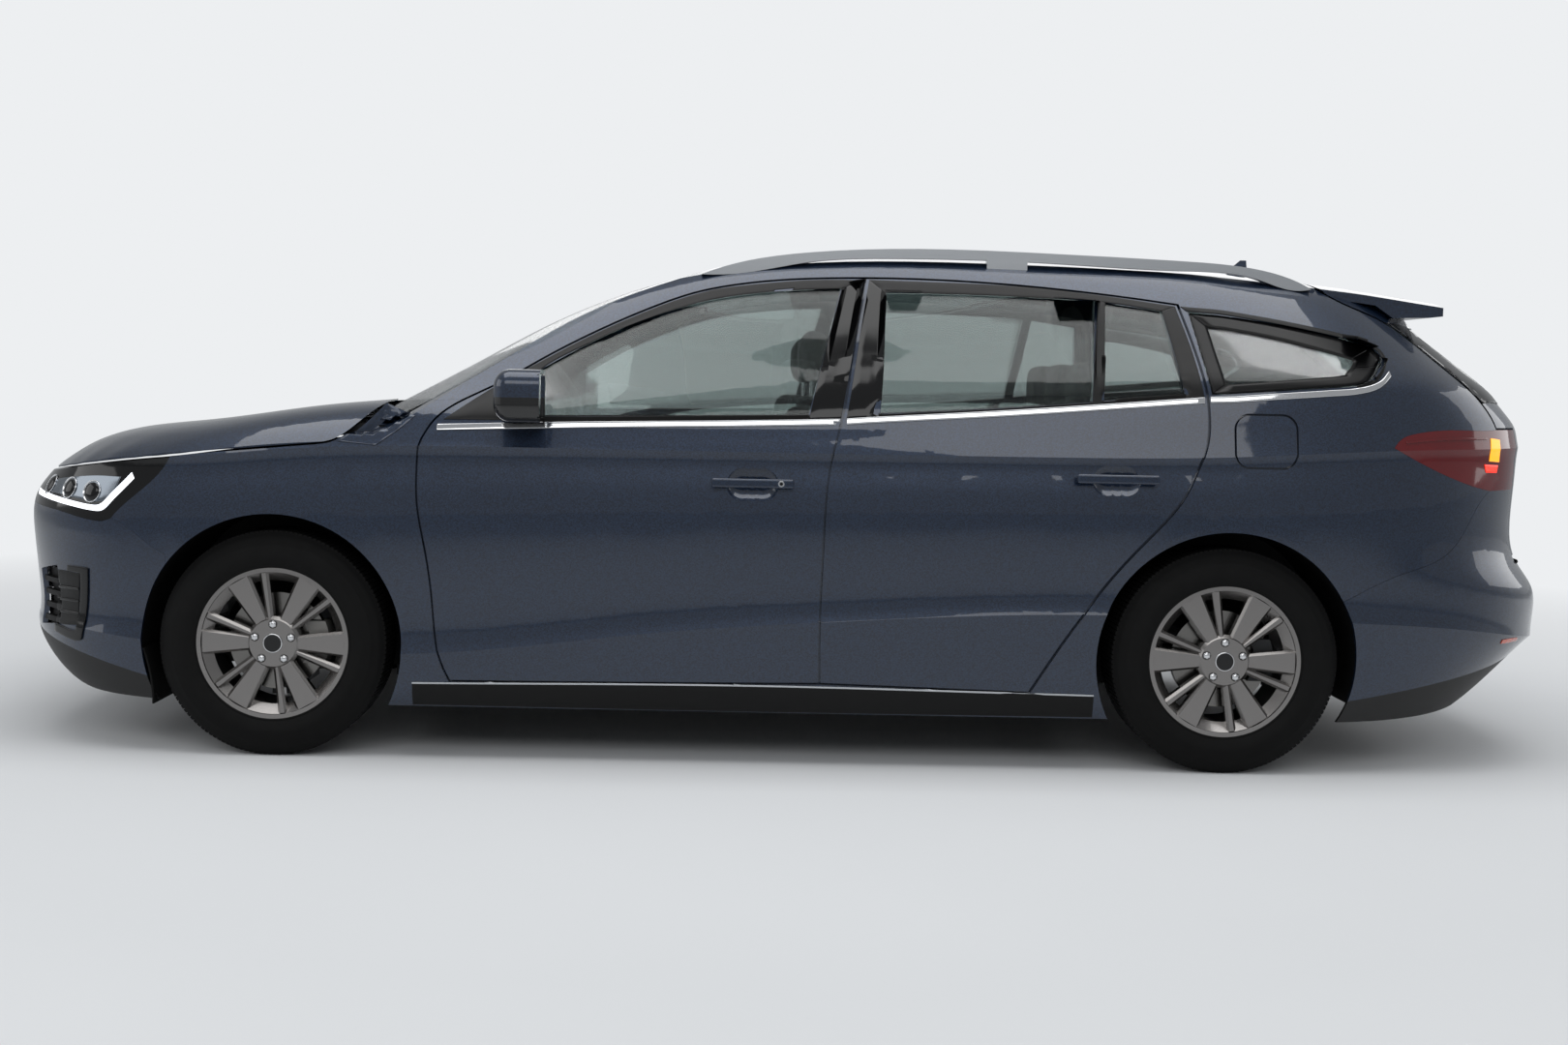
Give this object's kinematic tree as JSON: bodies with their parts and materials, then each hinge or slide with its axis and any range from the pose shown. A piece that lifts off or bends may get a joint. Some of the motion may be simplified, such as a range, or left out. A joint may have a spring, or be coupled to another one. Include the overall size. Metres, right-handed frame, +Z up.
{
  "type": "station wagon",
  "caption": "Compact family estate car with hinged doors, bonnet, tailgate and fuel flap, steered front wheels and four free-rolling wheels.",
  "frame": {"origin": "on the ground under the middle of the bounding box", "axes": "+X to the rear, +Y to the right of the car, +Z up"},
  "size_m": [4.6702, 2.02, 1.5216],
  "materials": {
    "paint": "metallic clear-coated, dark blue",
    "clear_glass": "laminated, clear",
    "tinted_glass": "tempered, lightly tinted",
    "lamp_lens": "clear polycarbonate over a dark housing",
    "red_lens": "moulded red acrylic",
    "black_plastic": "grained moulded polypropylene",
    "cast_iron": "as cast",
    "underbody": "dip coated",
    "engine_alloy": "as cast",
    "exhaust_steel": "satin",
    "seat_cloth": "woven",
    "dash_plastic": "grained soft skin",
    "wheel_rubber": "satin",
    "rail_aluminium": "satin anodised",
    "rim_alloy": "silver lacquered",
    "tyre": "moulded"
  },
  "bodies": {
    "body": {"side_frame_left": "paint", "side_frame_right": "paint", "roof_panel": "paint", "windscreen": "clear_glass", "quarter_glasses": "tinted_glass", "front_fenders": "paint", "headlamps": "lamp_lens", "front_bumper": "paint", "front_grilles": "black_plastic", "tail_lamps": "red_lens", "rear_bumper": "paint", "floor_pan": "underbody", "arch_liners": "black_plastic", "front_subframe": "underbody", "rear_axle_beam": "underbody", "engine_block": "engine_alloy", "exhaust": "exhaust_steel", "front_seats": "seat_cloth", "rear_bench": "seat_cloth", "dashboard": "dash_plastic", "cowl_panel": "black_plastic", "roof_rails": "rail_aluminium"},
    "bonnet": {"bonnet": "paint"},
    "tailgate": {"tailgate": "paint", "tailgate_glass": "tinted_glass"},
    "fuel_flap": {"fuel_flap": "paint"},
    "door_front_left": {"door_front_left": "paint", "glass_front_left": "tinted_glass", "mirror_left": "paint"},
    "door_front_right": {"door_front_right": "paint", "glass_front_right": "tinted_glass", "mirror_right": "paint"},
    "door_rear_left": {"door_rear_left": "paint", "glasses_rear_left": "tinted_glass"},
    "door_rear_right": {"door_rear_right": "paint", "glasses_rear_right": "tinted_glass"},
    "steering_wheel": {"steering_wheel": "wheel_rubber"},
    "knuckle_left": {"knuckle_left": "cast_iron"},
    "knuckle_right": {"knuckle_right": "cast_iron"},
    "wheel_front_left": {"rim_front_left": "rim_alloy", "tyre_front_left": "tyre"},
    "wheel_front_right": {"rim_front_right": "rim_alloy", "tyre_front_right": "tyre"},
    "wheel_rear_left": {"rim_rear_left": "rim_alloy", "tyre_rear_left": "tyre"},
    "wheel_rear_right": {"rim_rear_right": "rim_alloy", "tyre_rear_right": "tyre"}
  },
  "joints": [
    {"name": "door_front_left_hinge", "type": "hinge", "parent": "body", "child": "door_front_left", "pos_m": [-1.0585, -0.9145, 0.6], "axis": [0, 0, -1], "range_deg": [0, 70]},
    {"name": "door_front_right_hinge", "type": "hinge", "parent": "body", "child": "door_front_right", "pos_m": [-1.0585, 0.9145, 0.6], "axis": [0, 0, 1], "range_deg": [0, 70]},
    {"name": "door_rear_left_hinge", "type": "hinge", "parent": "body", "child": "door_rear_left", "pos_m": [0.081, -0.9145, 0.6], "axis": [0, 0, -1], "range_deg": [0, 70]},
    {"name": "door_rear_right_hinge", "type": "hinge", "parent": "body", "child": "door_rear_right", "pos_m": [0.081, 0.9145, 0.6], "axis": [0, 0, 1], "range_deg": [0, 70]},
    {"name": "bonnet_hinge", "type": "hinge", "parent": "body", "child": "bonnet", "pos_m": [-1.16, 0, 1.022], "axis": [0, 1, 0], "range_deg": [0, 62]},
    {"name": "tailgate_hinge", "type": "hinge", "parent": "body", "child": "tailgate", "pos_m": [1.548, 0, 1.44], "axis": [0, -1, 0], "range_deg": [0, 84]},
    {"name": "fuel_flap_hinge", "type": "hinge", "parent": "body", "child": "fuel_flap", "pos_m": [1.241, -0.909, 0.947], "axis": [0, 0, -1], "range_deg": [0, 100]},
    {"name": "steering_wheel_turn", "type": "hinge", "parent": "body", "child": "steering_wheel", "pos_m": [-0.64, -0.38, 0.86], "axis": [0.9135, 0, 0.4067], "range_deg": [-490, 490]},
    {"name": "steer_left", "type": "hinge", "parent": "body", "child": "knuckle_left", "pos_m": [-1.465, -0.751, 0.32], "axis": [0, 0, 1], "range_deg": [-34, 34]},
    {"name": "steer_right", "type": "hinge", "parent": "body", "child": "knuckle_right", "pos_m": [-1.465, 0.751, 0.32], "axis": [0, 0, 1], "range_deg": [-34, 34]},
    {"name": "spin_front_left", "type": "hinge", "parent": "knuckle_left", "child": "wheel_front_left", "pos_m": [-1.465, -0.786, 0.32], "axis": [0, 1, 0], "continuous": true},
    {"name": "spin_front_right", "type": "hinge", "parent": "knuckle_right", "child": "wheel_front_right", "pos_m": [-1.465, 0.786, 0.32], "axis": [0, 1, 0], "continuous": true},
    {"name": "spin_rear_left", "type": "hinge", "parent": "body", "child": "wheel_rear_left", "pos_m": [1.235, -0.786, 0.32], "axis": [0, 1, 0], "continuous": true},
    {"name": "spin_rear_right", "type": "hinge", "parent": "body", "child": "wheel_rear_right", "pos_m": [1.235, 0.786, 0.32], "axis": [0, 1, 0], "continuous": true}
  ],
  "couplings": [
    {"joint": "steer_right", "follows": "steer_left", "ratio": 1},
    {"joint": "steering_wheel_turn", "follows": "steer_left", "ratio": 14}
  ]
}
